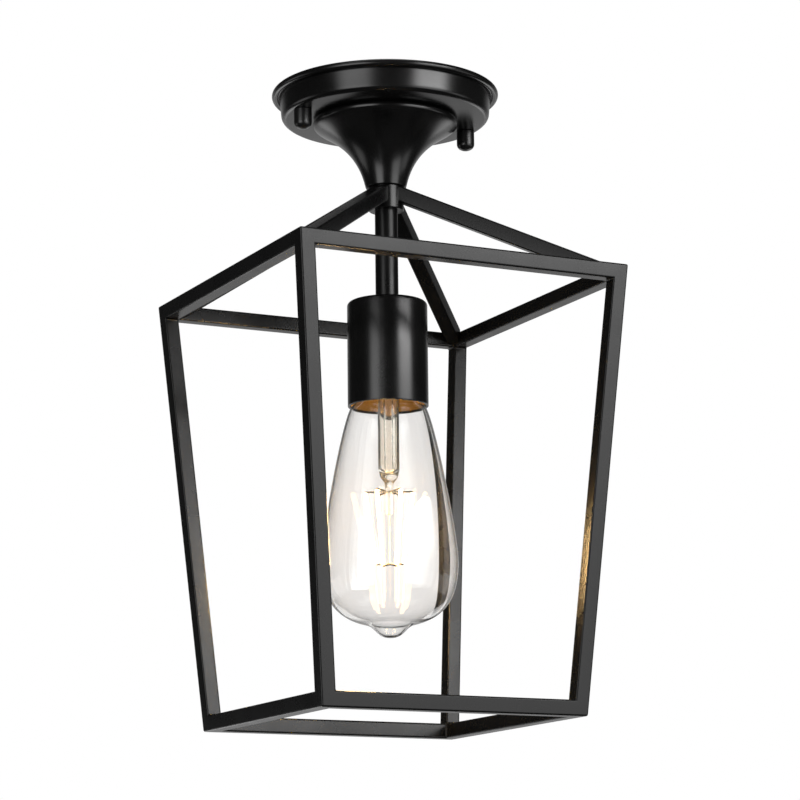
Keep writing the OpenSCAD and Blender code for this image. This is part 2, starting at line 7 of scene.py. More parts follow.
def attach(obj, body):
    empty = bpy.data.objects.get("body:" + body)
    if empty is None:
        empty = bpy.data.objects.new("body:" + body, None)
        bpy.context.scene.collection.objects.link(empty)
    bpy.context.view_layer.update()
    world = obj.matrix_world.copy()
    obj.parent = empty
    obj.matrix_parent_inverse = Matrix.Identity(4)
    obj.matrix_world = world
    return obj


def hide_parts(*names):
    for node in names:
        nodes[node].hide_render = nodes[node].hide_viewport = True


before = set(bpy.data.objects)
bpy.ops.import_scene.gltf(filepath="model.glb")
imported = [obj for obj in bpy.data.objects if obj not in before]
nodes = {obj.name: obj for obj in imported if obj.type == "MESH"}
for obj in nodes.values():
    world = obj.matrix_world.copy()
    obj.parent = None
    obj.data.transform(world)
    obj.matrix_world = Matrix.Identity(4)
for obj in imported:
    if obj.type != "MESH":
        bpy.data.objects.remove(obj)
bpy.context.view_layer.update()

# Lengths are written in millimetres and multiplied by this.
MM = 0.001

# ---- Camera ----
# A long lens a metre and a half away, to the left of the lantern and a little below it, so
# that the canopy's underside and the undersides of the top rails show.
camera_place = (-645.11, -1300.24, -463.53)
camera_heading, camera_tilt, camera_roll = -26.631, 11.584, -0.652
bpy.ops.object.select_all(action="DESELECT")
bpy.ops.object.camera_add()
camera = bpy.context.object
camera.data.sensor_width = 36
camera.data.lens = 128.38
camera.data.clip_start = 0.05
camera.data.clip_end = 200
camera.matrix_world = (
    Matrix.Translation([length * MM for length in camera_place])
    @ Matrix.Rotation(radians(camera_heading), 4, "Z")
    @ Matrix.Rotation(radians(90 + camera_tilt), 4, "X")
    @ Matrix.Rotation(radians(camera_roll), 4, "Z")
)
bpy.context.scene.camera = camera
bpy.context.scene.view_settings.view_transform = "Standard"


# ---- Studio ----
# A dim room with a bright white wall behind the lantern, which the camera sees as plain white,
# over a grey floor. A tall soft box stands on each side of the camera, and weaker ones stand
# round the rest of the room and hang over it.
def linear(code):
    """An sRGB hex colour as the linear colour that a shader takes."""
    values = [int(code[i : i + 2], 16) / 255 for i in (1, 3, 5)]
    return (*[v / 12.92 if v <= 0.04045 else ((v + 0.055) / 1.055) ** 2.4 for v in values], 1.0)


def add_node(tree, kind, settings=None, **inputs):
    """Adds a node, sets its properties, and gives each input a value or another node's output.

    An input goes by its name, or by i and its number where several share a name.
    """
    node = tree.nodes.new(kind)
    for key, value in (settings or {}).items():
        setattr(node, key, value)
    for name, value in inputs.items():
        number = name[1:]
        socket = node.inputs[int(number) if number.isdigit() else name.replace("_", " ")]
        if isinstance(value, bpy.types.NodeSocket):
            tree.links.new(value, socket)
        else:
            socket.default_value = value
    return node


def sight(tree):
    """Tells the rays that look straight at a surface, also through glass, and the mirrored ones."""
    rays = add_node(tree, "ShaderNodeLightPath")
    mirrored = add_node(tree, "ShaderNodeMath", {"operation": "GREATER_THAN"},
                        i0=rays.outputs["Glossy Depth"], i1=0.5)
    through = add_node(tree, "ShaderNodeMath", {"operation": "GREATER_THAN"},
                       i0=rays.outputs["Is Transmission Ray"], i1=mirrored.outputs[0])
    straight = add_node(tree, "ShaderNodeMath", {"operation": "MAXIMUM"},
                        i0=rays.outputs["Is Camera Ray"], i1=through.outputs[0])
    return straight.outputs[0], mirrored.outputs[0]


world = bpy.data.worlds.new("studio_room")
bpy.context.scene.world = world
world.use_nodes = True
room = world.node_tree
room.nodes.clear()
room_straight, room_mirrored = sight(room)
direction = add_node(room, "ShaderNodeTexCoord")
# What polished paint mirrors: the bright wall behind the lantern, and little elsewhere
wall_way = (0.45, 0.89, -0.05)
towards_wall = add_node(room, "ShaderNodeVectorMath", {"operation": "DOT_PRODUCT"},
                        i0=direction.outputs["Generated"], i1=wall_way)
wall_light = add_node(room, "ShaderNodeMapRange", Value=towards_wall.outputs["Value"],
                      From_Min=0.72, From_Max=0.96, To_Min=0.03, To_Max=0.55)
dim_light = 0.4
room_light = add_node(room, "ShaderNodeMix", {"data_type": "FLOAT"}, i0=room_mirrored,
                      i2=dim_light, i3=wall_light.outputs[0])
seen_light = add_node(room, "ShaderNodeMix", {"data_type": "FLOAT"}, i0=room_straight,
                      i2=room_light.outputs[0], i3=1.0)
backdrop = add_node(room, "ShaderNodeBackground", Color=linear("#FFFFFF"),
                    Strength=seen_light.outputs[0])
add_node(room, "ShaderNodeOutputWorld", Surface=backdrop.outputs[0])


def blank_material(name):
    """A new material, and its node tree with nothing in it."""
    material = bpy.data.materials.new(name)
    material.use_nodes = True
    material.node_tree.nodes.clear()
    return material, material.node_tree


# The floor is two metres below the ceiling and, like the room, white to the eye.
bpy.ops.mesh.primitive_plane_add(size=5, location=(0, 0, -2))
floor = bpy.context.object
floor.name = "floor"
studio_floor, floor_nodes = blank_material("grey_studio_floor")
floor_straight, _ = sight(floor_nodes)
floor_paint = add_node(floor_nodes, "ShaderNodeBsdfDiffuse", Color=linear("#6A6A6A"))
floor_glow = add_node(floor_nodes, "ShaderNodeEmission", Color=linear("#FFFFFF"), Strength=1.0)
floor_look = add_node(floor_nodes, "ShaderNodeMixShader", i0=floor_straight,
                      i1=floor_paint.outputs[0], i2=floor_glow.outputs[0])
add_node(floor_nodes, "ShaderNodeOutputMaterial", Surface=floor_look.outputs[0])
floor.data.materials.append(studio_floor)

# Metres from the rod to each soft box, and the bearing of the camera from the rod in degrees
box_distance, camera_bearing = 1.6, -116.4


def soft_box(name, bearing, foot, top, width, radiance, tail):
    """A soft box that faces the lantern, between two heights, with its sizes in metres.

    The bearing is in degrees, to the right of the way from the lantern to the camera. The sides
    and the foot fade, and the head is brightest: the tail is how much of that is left below it.
    """
    turn = radians(bearing + camera_bearing)
    place = Vector((box_distance * cos(turn), box_distance * sin(turn), (foot + top) / 2))
    bpy.ops.object.light_add(type="AREA", location=place)
    light = bpy.context.object
    light.name = name
    light.visible_camera = False
    light.visible_transmission = False
    light.data.shape = "RECTANGLE"
    light.data.size, light.data.size_y = width, top - foot
    light.data.energy = radiance * pi * width * (top - foot)
    light.rotation_euler = (Vector((0, 0, place.z)) - place).to_track_quat("-Z", "Y").to_euler()
    light.data.use_nodes = True
    tree = light.data.node_tree
    tree.nodes.clear()
    cloth = add_node(tree, "ShaderNodeNewGeometry")
    spot = add_node(tree, "ShaderNodeSeparateXYZ", Vector=cloth.outputs["Parametric"])
    across = add_node(tree, "ShaderNodeMath", {"operation": "SUBTRACT"}, i0=spot.outputs["X"], i1=0.5)
    aside = add_node(tree, "ShaderNodeMath", {"operation": "ABSOLUTE"}, i0=across.outputs[0])
    side_fade = add_node(tree, "ShaderNodeMapRange", {"interpolation_type": "SMOOTHSTEP"},
                         Value=aside.outputs[0], From_Min=0.22, From_Max=0.5, To_Min=1.0, To_Max=0.0)
    rise = add_node(tree, "ShaderNodeMath", {"operation": "POWER"}, i0=spot.outputs["Y"], i1=6.0)
    head = add_node(tree, "ShaderNodeMapRange", Value=rise.outputs[0], To_Min=tail)
    foot_fade = add_node(tree, "ShaderNodeMapRange", {"interpolation_type": "SMOOTHSTEP"},
                         Value=spot.outputs["Y"], From_Max=0.2)
    upper = add_node(tree, "ShaderNodeMath", {"operation": "MULTIPLY"},
                     i0=side_fade.outputs[0], i1=head.outputs[0])
    level = add_node(tree, "ShaderNodeMath", {"operation": "MULTIPLY"},
                     i0=upper.outputs[0], i1=foot_fade.outputs[0])
    glow = add_node(tree, "ShaderNodeEmission", Color=linear("#FFFFFF"), Strength=level.outputs[0])
    add_node(tree, "ShaderNodeOutputLight", Surface=glow.outputs[0])


soft_box("left_soft_box", -32, -1.05, 0.33, 1.35, 3.4, 0.85)
soft_box("right_soft_box", 50, -1.25, 0.37, 1.45, 14.0, 0.16)
# Weaker ones, high and low, that the paint mirrors mostly in other views of the lantern
soft_box("left_high_box", -36, 0.85, 1.50, 0.9, 2.0, 1.0)
soft_box("right_high_box", 46, 0.85, 1.50, 0.9, 2.0, 1.0)
soft_box("left_side_box", -106, -1.15, -0.40, 1.1, 1.0, 1.0)
soft_box("right_side_box", 88, -1.15, -0.40, 1.1, 1.0, 1.0)
soft_box("back_left_box", -157, -1.25, -0.60, 0.9, 1.6, 1.0)
soft_box("back_right_box", 157, -1.25, -0.60, 0.9, 1.6, 1.0)
bpy.ops.object.light_add(type="AREA", location=(0, 0, 2.2))
overhead = bpy.context.object
overhead.name = "overhead_box"
overhead.visible_camera = False
overhead.visible_transmission = False
overhead.data.size = 1.6
overhead.data.energy = 8


# ---- Ceiling plate ----
# A cross of zinc-plated steel is screwed to the junction box. Two studs, each locked by a nut,
# stand down from it for the canopy, and a green hexagon screw on one arm takes the ground wire.
def metal(name, colour, roughness):
    """A bare or plated metal, duller in some places than in others.

    Its grain is too fine to see, so it is drawn at 0.8 mm, as coarse as it needs to show.
    """
    grain_size, cloud_size, cloud_depth = 0.8, 7, 0.06
    material, tree = blank_material(name)
    place = add_node(tree, "ShaderNodeTexCoord")
    grain = add_node(tree, "ShaderNodeTexNoise", Vector=place.outputs["Object"],
                     Scale=1 / (grain_size * MM), Detail=3.0)
    cloud = add_node(tree, "ShaderNodeTexNoise", Vector=place.outputs["Object"],
                     Scale=1 / (cloud_size * MM), Detail=2.0)
    dull = add_node(tree, "ShaderNodeMapRange", Value=cloud.outputs["Fac"], From_Min=0.3, From_Max=0.7,
                    To_Min=roughness - cloud_depth, To_Max=roughness + cloud_depth)
    skin = add_node(tree, "ShaderNodeBump", Strength=0.05, Distance=0.05 * MM,
                    Height=grain.outputs["Fac"])
    face = add_node(tree, "ShaderNodeBsdfPrincipled", Base_Color=linear(colour), Metallic=1.0,
                    Roughness=dull.outputs[0], Normal=skin.outputs["Normal"])
    add_node(tree, "ShaderNodeOutputMaterial", Surface=face.outputs[0])
    return material


def plain(name, tones, roughness):
    """A moulded, glazed, dyed or printed surface: one colour that drifts over nine millimetres.

    Its grain is drawn at 1.2 mm, as coarse as it needs to show.
    """
    grain_size, drift_size = 1.2, 9
    material, tree = blank_material(name)
    place = add_node(tree, "ShaderNodeTexCoord")
    drift = add_node(tree, "ShaderNodeTexNoise", Vector=place.outputs["Object"],
                     Scale=1 / (drift_size * MM), Detail=2.0)
    tone = add_node(tree, "ShaderNodeMix", {"data_type": "RGBA"}, i0=drift.outputs["Fac"],
                    i6=linear(tones[0]), i7=linear(tones[1]))
    grain = add_node(tree, "ShaderNodeTexNoise", Vector=place.outputs["Object"],
                     Scale=1 / (grain_size * MM))
    skin = add_node(tree, "ShaderNodeBump", Strength=0.05, Distance=0.05 * MM,
                    Height=grain.outputs["Fac"])
    face = add_node(tree, "ShaderNodeBsdfPrincipled", Base_Color=tone.outputs[2], Roughness=roughness,
                    IOR=1.5, Normal=skin.outputs["Normal"])
    add_node(tree, "ShaderNodeOutputMaterial", Surface=face.outputs[0])
    return material


def coat_nodes(material, *names):
    """Gives a finish to nodes of the frame, which keep their shape."""
    for name in names:
        for slot in nodes[name].material_slots:
            slot.material = material


# Zinc plate is a pale, cool grey with a satin shine.
zinc = metal("zinc_plated_steel", "#B4B6B8", 0.38)
coat_nodes(zinc, "ceiling_plate", "canopy_studs", "stud_lock_nuts")
# The dye leaves the zinc of the ground screw an even, duller green.
green = plain("green_dyed_zinc", ("#2E6B35", "#3A7B40"), 0.4)
coat_nodes(green, "ground_screw")


# ---- Canopy ----
# The canopy is spun from one millimetre steel sheet and enamelled: a bead is rolled round its
# lip, and its wall turns through a three millimetre radius into the flat underside.
def arc(x, z, r, start, end, steps=8):
    """Points of an arc round (x, z), in millimetres and degrees."""
    turns = [radians(start + (end - start) * i / steps) for i in range(steps + 1)]
    return [(x + r * cos(a), z + r * sin(a)) for a in turns]


def settle(piece, name, smooth=35):
    """Names the piece, puts its origin at the frame's origin and shades it."""
    piece.name = name
    piece.data.name = name
    bpy.ops.object.transform_apply(location=True, rotation=True, scale=True)
    bpy.ops.object.shade_smooth_by_angle(angle=radians(smooth))
    return piece


def turned(name, outline, facets=128, smooth=35):
    """Draws an outline of (radius, height) points in millimetres and spins it round the rod."""
    bpy.ops.object.select_all(action="DESELECT")
    x, z = outline[0]
    bpy.ops.mesh.primitive_plane_add(size=MM, location=(x * MM, 0, z * MM))
    piece = bpy.context.object
    bpy.ops.object.mode_set(mode="EDIT")
    bpy.ops.mesh.merge(type="CENTER")
    for (x0, z0), (x1, z1) in zip(outline, outline[1:]):
        step = ((x1 - x0) * MM, 0, (z1 - z0) * MM)
        bpy.ops.mesh.extrude_vertices_move(TRANSFORM_OT_translate={"value": step})
    bpy.ops.mesh.select_all(action="SELECT")
    bpy.ops.mesh.spin(steps=facets, angle=2 * pi, center=(0, 0, 0), axis=(0, 0, 1))
    bpy.ops.mesh.select_all(action="SELECT")
    bpy.ops.mesh.remove_doubles(threshold=0.002 * MM)
    bpy.ops.mesh.normals_make_consistent(inside=False)
    bpy.ops.object.mode_set(mode="OBJECT")
    return settle(piece, name, smooth)


def enamel_coat(tree, tones, roughness, peel_size, shine):
    """The shader of a baked black coat on steel: near black, semi-gloss, with faint orange peel.

    The peel's size is in millimetres, and the shine is how strongly the coat mirrors.
    """
    drift_size, gloss_drift = 22, 0.035
    place = add_node(tree, "ShaderNodeTexCoord")
    # The coat's thickness wanders over a few centimetres and shifts gloss and tone a little
    drift = add_node(tree, "ShaderNodeTexNoise", Vector=place.outputs["Object"],
                     Scale=1 / (drift_size * MM), Detail=3.0, Roughness=0.55)
    gloss = add_node(tree, "ShaderNodeMapRange", Value=drift.outputs["Fac"], From_Min=0.3, From_Max=0.7,
                     To_Min=roughness - gloss_drift, To_Max=roughness + gloss_drift)
    tone = add_node(tree, "ShaderNodeMix", {"data_type": "RGBA"}, i0=drift.outputs["Fac"],
                    i6=linear(tones[0]), i7=linear(tones[1]))
    peel = add_node(tree, "ShaderNodeTexNoise", Vector=place.outputs["Object"],
                    Scale=1 / (peel_size * MM), Detail=2.0, Roughness=0.5)
    skin = add_node(tree, "ShaderNodeBump", Strength=0.10, Distance=0.02 * MM,
                    Height=peel.outputs["Fac"])
    coat = add_node(tree, "ShaderNodeBsdfPrincipled", Base_Color=tone.outputs[2],
                    Roughness=gloss.outputs[0], IOR=1.5, Specular_IOR_Level=shine,
                    Normal=skin.outputs["Normal"])
    return coat.outputs[0]


def black_enamel(name, tones, roughness, peel_size, shine=0.5):
    """A material that is one such coat all over."""
    material, tree = blank_material(name)
    coat = enamel_coat(tree, tones, roughness, peel_size, shine)
    add_node(tree, "ShaderNodeOutputMaterial", Surface=coat)
    return material


def finish(piece, material, slot, body, *replaced):
    """Gives a new piece its finish, its body and the CAD nodes that it stands for."""
    piece.data.materials.clear()
    piece.data.materials.append(material)
    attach(piece, body)
    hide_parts(*replaced)


canopy_r, canopy_foot, sheet, rod_hole_r = 60.0, -15.0, 1.0, 5.2
bead_r, bead_start, crease_r, crease_z = 1.8, 222, 0.6, -2.9
wall_top_r, wall_foot_r, bend_r = 55.9, 55.1, 3
bend_x, bend_z = wall_foot_r - bend_r, canopy_foot + bend_r
canopy_outline = [(rod_hole_r, canopy_foot)] + arc(bend_x, bend_z, bend_r, 270, 360)
canopy_outline += arc(wall_top_r + crease_r, crease_z, crease_r, 180, 90, 4)
canopy_outline += arc(canopy_r - bead_r, -bead_r, bead_r, bead_start, 450, 20)
canopy_outline += [(wall_top_r - sheet, 0), (wall_top_r - sheet, -sheet)]
canopy_outline += arc(bend_x, bend_z, bend_r - sheet, 360, 270)
canopy_outline += [(rod_hole_r, canopy_foot + sheet), (rod_hole_r, canopy_foot)]
canopy = turned("spun_canopy", canopy_outline)

stud_x, stud_hole_r, drill_length = 48, 2.4, 4
for side in (-1, 1):
    bpy.ops.object.select_all(action="DESELECT")
    bpy.ops.mesh.primitive_cylinder_add(vertices=32, radius=stud_hole_r * MM, depth=drill_length * MM,
                                        location=(side * stud_x * MM, 0, canopy_foot * MM))
    drill = bpy.context.object
    cut = canopy.modifiers.new("stud_hole", "BOOLEAN")
    cut.object = drill
    cut.solver = "EXACT"
    bpy.context.view_layer.objects.active = canopy
    bpy.ops.object.modifier_apply(modifier=cut.name)
    bpy.data.objects.remove(drill)
# Enamel baked on smooth sheet mirrors the soft boxes as long, soft-edged streaks.
enamel = black_enamel("baked_black_enamel", ("#080808", "#0C0C0C"), 0.24, 0.9)
finish(canopy, enamel, "black_enamel", "lantern", "canopy_pan")


# ---- Trumpet neck ----
# A second spun and enamelled cover: a steep shoulder against the canopy, drawn in on one sweep
# to the neck, with a closed floor that the hub's collar pulls up against.
def bent_line(p, steps, sideways=0.0):
    """Points of a cubic curve from p[0] to p[3], moved sideways where it bounds a wall."""
    points = []
    for i in range(steps + 1):
        t = i / steps
        s = 1 - t
        weights = (s**3, 3 * t * s * s, 3 * t * t * s, t**3)
        slopes = (-3 * s * s, 3 * s * s - 6 * t * s, 6 * t * s - 3 * t * t, 3 * t * t)
        x, z = (sum(w * q[k] for w, q in zip(weights, p)) for k in (0, 1))
        dx, dz = (sum(w * q[k] for w, q in zip(slopes, p)) for k in (0, 1))
        length = (dx * dx + dz * dz) ** 0.5
        points.append((x - sideways * dz / length, z + sideways * dx / length))
    return points


trumpet_r, rim_r, rim_turn = 38.2, 2.2, -47.5
neck_r, trumpet_foot, floor_t, foot_corner_r = 10.7, -52, 1.2, 0.4
rim_x, rim_z = trumpet_r - rim_r, canopy_foot - rim_r
rim_arc = arc(rim_x, rim_z, rim_r, 90, rim_turn, 12)
shoulder_x, shoulder_z = rim_arc[-1]
shoulder_pull, neck_pull = (shoulder_x - 3.7, shoulder_z - 3.4), (15.3, -28.4)
sweep = [(shoulder_x, shoulder_z), shoulder_pull, neck_pull, (neck_r, trumpet_foot)]
trumpet_outline = rim_arc + bent_line(sweep, 40)[1:-1]
trumpet_outline += arc(neck_r - foot_corner_r, trumpet_foot + foot_corner_r, foot_corner_r, 0, -90, 4)
trumpet_outline += [(rod_hole_r, trumpet_foot), (rod_hole_r, trumpet_foot + floor_t)]
trumpet_outline += [p for p in bent_line(sweep, 40, -sheet)[::-1] if p[1] > trumpet_foot + floor_t]
trumpet_outline += arc(rim_x, rim_z, rim_r - sheet, rim_turn, 90)[1:] + [(rim_x, canopy_foot)]
trumpet = turned("spun_trumpet", trumpet_outline, smooth=50)
finish(trumpet, enamel, "black_enamel", "lantern", "trumpet_neck")


# ---- Cap nuts ----
# Two round cap nuts, turned from brass bar and blackened, hold the canopy up on its studs. Each
# has a blind bore and a domed end.
def copied(piece, name, matrix):
    """Copies a piece, with a mesh of its own, and moves or turns the copy."""
    bpy.ops.object.select_all(action="DESELECT")
    piece.select_set(True)
    bpy.context.view_layer.objects.active = piece
    bpy.ops.object.duplicate()
    copy = bpy.context.object
    copy.name = name
    copy.data.name = name
    copy.matrix_world = matrix
    bpy.ops.object.transform_apply(location=True, rotation=True, scale=True)
    return copy


nut_r, nut_bore_r, nut_bore_end, nut_chamfer = 4.7, 2.05, -23, 0.3
nut_outline = [(nut_bore_r, canopy_foot), (nut_r - nut_chamfer, canopy_foot),
               (nut_r, canopy_foot - nut_chamfer)]
nut_outline += bent_line([(nut_r, -21.9), (nut_r, -24.3), (2.6, -25.5), (0, -25.5)], 10)
nut_outline += [(0, nut_bore_end), (nut_bore_r, nut_bore_end), (nut_bore_r, canopy_foot)]
left_nut = turned("cap_nut_left_turned", nut_outline, facets=48)
left_nut.matrix_world = Matrix.Translation((-stud_x * MM, 0, 0))
bpy.ops.object.transform_apply(location=True, rotation=True, scale=True)
right_nut = copied(left_nut, "cap_nut_right_turned", Matrix.Translation((2 * stud_x * MM, 0, 0)))
# Blackened brass is a shade paler than the enamel, and a little duller.
nut_black = black_enamel("blackened_cap_nut", ("#0C0C0C", "#121212"), 0.3, 0.6)
finish(left_nut, nut_black, "black_nut", "cap_nut_left", "cap_nut_left")
finish(right_nut, nut_black, "black_nut", "cap_nut_right", "cap_nut_right")

# ---- Rod, hub and downrod ----
# A hollow threaded rod hangs from a nut on a tooth washer inside the canopy. A turned steel
# collar on it, the hub, carries the four hip bars, and a plain tube covers it from there to
# the sleeve.
coat_nodes(zinc, "threaded_rod", "rod_star_washer")
# Plain brass is a warm yellow, with soft mirrors.
yellow_brass = metal("bare_yellow_brass", "#C9A24B", 0.3)
coat_nodes(yellow_brass, "rod_top_nut")
hub_r, hub_foot, hub_chamfer = 9.25, -64.5, 0.4
hub = turned("hub_collar_turned", [
    (rod_hole_r, hub_foot), (hub_r - hub_chamfer, hub_foot), (hub_r, hub_foot + hub_chamfer),
    (hub_r, trumpet_foot - hub_chamfer), (hub_r - hub_chamfer, trumpet_foot),
    (rod_hole_r, trumpet_foot), (rod_hole_r, hub_foot),
], facets=96)
finish(hub, enamel, "black_enamel", "lantern", "hub_collar")
downrod_r, sleeve_top = 6, -114
downrod = turned("downrod_cover_tube", [
    (rod_hole_r, sleeve_top), (downrod_r, sleeve_top), (downrod_r, hub_foot),
    (rod_hole_r, hub_foot), (rod_hole_r, sleeve_top),
], facets=64)
# The tube's coat is satin, and mirrors less than the spun covers.
rod_coat = black_enamel("satin_black_rod_coat", ("#080808", "#0C0C0C"), 0.3, 0.6, 0.33)
finish(downrod, rod_coat, "black_enamel", "lantern", "downrod_tube")

# ---- Cage ----
# Four leaning uprights and eight rails of eight millimetre square steel tube, mitred, welded
# flush and ground, so that each side of the cage is one plane, and powder coated.
tube, tube_edge_r = 8, 1.0
top_half, foot_half, cage_top, cage_foot = 92, 73, -105, -334
draft = (top_half - foot_half) / (cage_top - cage_foot)
# A leaning tube is a little wider across, measured level
tube_across = tube / cos(atan(draft))


def half_width(z):
    """Half the cage's width over its tubes at a height."""
    return foot_half + draft * (z - cage_foot)


def pick_faces(piece, test):
    """Enters edit mode with the faces selected whose centre and normal pass a test."""
    bpy.context.tool_settings.mesh_select_mode = (False, False, True)
    bpy.ops.object.mode_set(mode="EDIT")
    bpy.ops.mesh.select_all(action="DESELECT")
    bpy.ops.object.mode_set(mode="OBJECT")
    for face in piece.data.polygons:
        face.select = test(face.center / MM, face.normal)
    bpy.ops.object.mode_set(mode="EDIT")


def leave_edit():
    """Leaves edit mode, with picking by vertex set again."""
    bpy.ops.object.mode_set(mode="OBJECT")
    bpy.context.tool_settings.mesh_select_mode = (True, False, False)


def bridge(piece, test):
    """Runs a tube between the two corner blocks whose facing sides pass the test."""
    pick_faces(piece, test)
    bpy.ops.mesh.bridge_edge_loops()
    leave_edit()


def joined(pieces):
    """Joins pieces into the first of them."""
    bpy.ops.object.select_all(action="DESELECT")
    for piece in pieces:
        piece.select_set(True)
    bpy.context.view_layer.objects.active = pieces[0]
    bpy.ops.object.join()
    return bpy.context.object


def rounded(piece, width, segments):
    """Rounds the piece's sharp edges by a width in millimetres."""
    edges = piece.modifiers.new("worn_edges", "BEVEL")
    edges.width = width * MM
    edges.segments = segments
    edges.limit_method = "ANGLE"
    edges.angle_limit = radians(35)
    edges.harden_normals = False
    bpy.context.view_layer.objects.active = piece
    bpy.ops.object.modifier_apply(modifier=edges.name)


def flat_faced(piece):
    """Keeps wide flat faces looking flat beside their rounded edges."""
    shade = piece.modifiers.new("flat_faces", "WEIGHTED_NORMAL")
    shade.weight = 100
    shade.keep_sharp = True
    bpy.context.view_layer.objects.active = piece
    bpy.ops.object.modifier_apply(modifier=shade.name)


# The tubes meet in eight corner blocks, copies of one, each leaned with its two sides.
bpy.ops.object.select_all(action="DESELECT")
bpy.ops.mesh.primitive_cube_add(size=1, location=(0, 0, 0))
square_block = bpy.context.object
square_block.scale = (tube_across * MM, tube_across * MM, tube * MM)
bpy.ops.object.transform_apply(location=True, rotation=True, scale=True)
lean = draft * tube * MM
blocks = []
for high in (cage_top, cage_foot + tube):
    middle = half_width(high) - tube_across / 2
    for sx, sy in ((1, -1), (1, 1), (-1, 1), (-1, -1)):
        place = (sx * middle * MM, sy * middle * MM, (high - tube / 2) * MM)
        block = copied(square_block, "corner", Matrix.Translation(place))
        pick_faces(block, lambda centre, normal: normal.z < -0.9)
        bpy.ops.transform.translate(value=(-sx * lean, -sy * lean, 0))
        leave_edit()
        blocks.append(block)
bpy.data.objects.remove(square_block)
cage = joined(blocks)
middle_z = (cage_top + cage_foot) / 2
# Only the corner blocks lie farther than this from the cage's middle, up or down and aside
far_up, far_aside = 90, 60
for sx, sy in ((1, -1), (1, 1), (-1, 1), (-1, -1)):
    bridge(cage, lambda c, n: c.x * sx > 0 and c.y * sy > 0 and n.z * (middle_z - c.z) > far_up)
for end in (1, -1):
    for side in (1, -1):
        bridge(cage, lambda c, n: (c.z - middle_z) * end > far_up and c.y * side > 0
               and -n.x * c.x > far_aside)
        bridge(cage, lambda c, n: (c.z - middle_z) * end > far_up and c.x * side > 0
               and -n.y * c.y > far_aside)
rounded(cage, tube_edge_r, 4)
settle(cage, "welded_cage", 40)
flat_faced(cage)
cage_nodes = [kind + "_rail_" + side for kind in ("top", "bottom")
              for side in ("front_right", "back_right", "back_left", "front_left")]
cage_nodes += ["upright_" + corner for corner in ("right", "back", "left", "front")]
# Powder flows out less than enamel: satin, with a finer peel and broad, faint mirrors.
cage_coat = black_enamel("satin_black_powder_coat", ("#090909", "#0E0E0E"), 0.27, 0.6, 0.27)
finish(cage, cage_coat, "black_enamel", "lantern", *cage_nodes)

# ---- Hip bars ----
# Four more lengths of the same tube slope from the hub to the cage's inner corners, notched
# round the hub, cut to a point in the corner, and welded at both ends.
hip_drop, hip_rise, spare, bite = 0.6, 0.66, 24, 0.8
inner_top = top_half - tube * cos(atan(draft))
hip_start = Vector((hub_r, trumpet_foot - hip_drop))
hip_end = Vector((inner_top * 2**0.5, cage_top + hip_rise))
run = hip_end - hip_start
hip_angle = atan(-run.y / run.x)
hip_middle = (hip_start + hip_end) / 2 - Vector((sin(hip_angle), cos(hip_angle))) * tube / 2
bpy.ops.object.select_all(action="DESELECT")
bpy.ops.mesh.primitive_cube_add(size=1, location=(0, 0, 0))
hip = bpy.context.object
hip.scale = ((run.length + spare) * MM, tube * MM, tube * MM)
bpy.ops.object.transform_apply(location=True, rotation=True, scale=True)
rounded(hip, tube_edge_r, 4)
hip.matrix_world = (Matrix.Rotation(radians(-45), 4, "Z")
                    @ Matrix.Translation((hip_middle.x * MM, 0, hip_middle.y * MM))
                    @ Matrix.Rotation(hip_angle, 4, "Y"))
bpy.ops.object.transform_apply(location=True, rotation=True, scale=True)
# Two cuts point its end, a little way into the rails, and a third ends it inside the hub
corner_x = (half_width(cage_top) - tube_across + bite) * MM
bpy.ops.object.mode_set(mode="EDIT")
for normal in ((1, 0, -draft), (0, -1, -draft)):
    bpy.ops.mesh.select_all(action="SELECT")
    bpy.ops.mesh.bisect(plane_co=(corner_x, -corner_x, cage_top * MM), plane_no=normal,
                        use_fill=True, clear_outer=True)
bpy.ops.mesh.select_all(action="SELECT")
bpy.ops.mesh.bisect(plane_co=(0, 0, 0), plane_no=(1, -1, 0), use_fill=True, clear_inner=True)
bpy.ops.object.mode_set(mode="OBJECT")
settle(hip, "hip_bar_right_welded", 40)
flat_faced(hip)
hip_bars = {"right": hip}
for corner, turn in (("back", 90), ("left", 180), ("front", 270)):
    hip_bars[corner] = copied(hip, "hip_bar_" + corner + "_welded", Matrix.Rotation(radians(turn), 4, "Z"))
for corner, bar in hip_bars.items():
    finish(bar, cage_coat, "black_enamel", "lantern", "hip_bar_" + corner)

# ---- Socket sleeve ----
# A drawn steel cup, pulled up on the rod by a nut and a washer, hides the lampholder. It is
# enamelled outside, and painted amber inside to stand for the lamp's warm glow there.
coat_nodes(zinc, "sleeve_washer")
coat_nodes(yellow_brass, "rod_bottom_nut")
sleeve_r, sleeve_t, sleeve_foot, sleeve_edge_r, sleeve_lip_r = 21, 1.2, -169.5, 2.2, 0.4
edge_x, edge_z = sleeve_r - sleeve_edge_r, sleeve_top - sleeve_edge_r
sleeve_outline = [(rod_hole_r, sleeve_top)] + arc(edge_x, edge_z, sleeve_edge_r, 90, 0)
sleeve_outline += arc(sleeve_r - sleeve_lip_r, sleeve_foot + sleeve_lip_r, sleeve_lip_r, 0, -90, 4)
sleeve_outline += [(sleeve_r - sleeve_t, sleeve_foot)]
sleeve_outline += arc(edge_x, edge_z, sleeve_edge_r - sleeve_t, 0, 90, 5)
sleeve_outline += [(rod_hole_r, sleeve_top - sleeve_t), (rod_hole_r, sleeve_top)]
sleeve = turned("socket_sleeve_cup", sleeve_outline)
sleeve_coat, sleeve_nodes = blank_material("sleeve_enamel_painted_glow_inside")
sprayed = enamel_coat(sleeve_nodes, ("#080808", "#0C0C0C"), 0.24, 0.9, 0.5)
